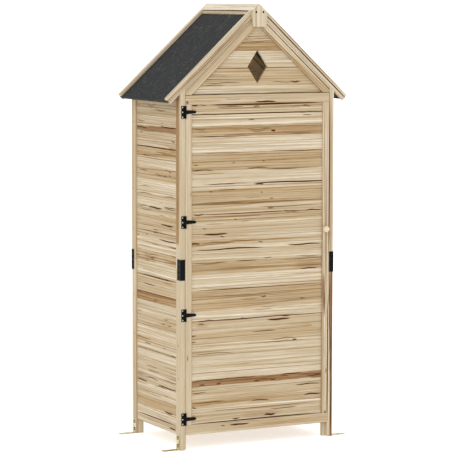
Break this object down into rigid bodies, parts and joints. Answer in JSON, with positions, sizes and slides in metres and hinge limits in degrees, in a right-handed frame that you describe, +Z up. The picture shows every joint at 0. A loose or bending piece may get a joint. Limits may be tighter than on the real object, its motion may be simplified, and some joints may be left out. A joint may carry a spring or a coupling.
{
  "type": "garden storage cabinet",
  "caption": "Tall narrow wooden garden cabinet with a pitched felt roof, a vented gable, a board door on T-hinges, slatted shelves inside and ground anchors at its feet.",
  "frame": {"origin": "on the ground, at the centre of the rectangle of peg holes in the ground anchors, midway between the posts both ways", "axes": "+Z up, +Y towards the back, so the door faces -Y; +X towards the door's opening edge"},
  "size_m": [0.842, 0.4941, 1.79],
  "materials": {
    "fir_frame": "planed, untreated",
    "fir_boards": "planed, untreated",
    "roof_felt": "mineral-faced bitumen felt",
    "roof_deck": "dark stained board",
    "black_steel": "satin black",
    "zinc_steel": "galvanised",
    "turned_wood": "turned, smooth",
    "catch_plastic": "matt"
  },
  "bodies": {
    "cabinet": {"back_boards_lower": "fir_boards", "back_boards_upper": "fir_boards", "barge_boards_front": "fir_frame", "barge_boards_rear": "fir_frame", "corner_battens": "fir_frame", "door_catch": "catch_plastic", "floor_bearers": "fir_frame", "floor_boards": "fir_boards", "front_lintel": "fir_frame", "gable_boards_front": "fir_boards", "gable_boards_rear": "fir_boards", "gable_cleats": "fir_frame", "gable_rafters": "fir_frame", "ground_anchors": "zinc_steel", "hinge_leaves": "black_steel", "hinge_pins": "black_steel", "keystone_plates": "fir_frame", "post_connectors": "black_steel", "post_front_left_lower": "fir_frame", "post_front_left_upper": "fir_frame", "post_front_right_lower": "fir_frame", "post_front_right_upper": "fir_frame", "post_rear_left_lower": "fir_frame", "post_rear_left_upper": "fir_frame", "post_rear_right_lower": "fir_frame", "post_rear_right_upper": "fir_frame", "rear_lintel": "fir_frame", "ridge_cap_left": "fir_frame", "ridge_cap_right": "fir_frame", "roof_battens_left": "fir_frame", "roof_battens_right": "fir_frame", "roof_deck_left": "roof_deck", "roof_deck_right": "roof_deck", "roof_felt_left": "roof_felt", "roof_felt_right": "roof_felt", "shelf_boards": "fir_boards", "shelf_cleats": "fir_frame", "side_boards_left_lower": "fir_boards", "side_boards_left_upper": "fir_boards", "side_boards_right_lower": "fir_boards", "side_boards_right_upper": "fir_boards", "top_battens": "fir_frame", "verge_covers": "fir_frame"},
    "door": {"door_battens": "fir_frame", "door_boards_lower": "fir_boards", "door_boards_upper": "fir_boards", "door_bottom_rail": "fir_frame", "door_stile_left_lower": "fir_frame", "door_stile_left_upper": "fir_frame", "door_stile_right_lower": "fir_frame", "door_stile_right_upper": "fir_frame", "door_top_rail": "fir_frame", "hinge_straps": "black_steel", "knob": "turned_wood", "knob_screw": "zinc_steel", "strike_plate": "zinc_steel"}
  },
  "joints": [
    {"name": "door_hinge", "type": "hinge", "parent": "cabinet", "child": "door", "pos_m": [-0.328, -0.2334, 0], "axis": [0, 0, -1], "range_deg": [0, 165]}
  ]
}
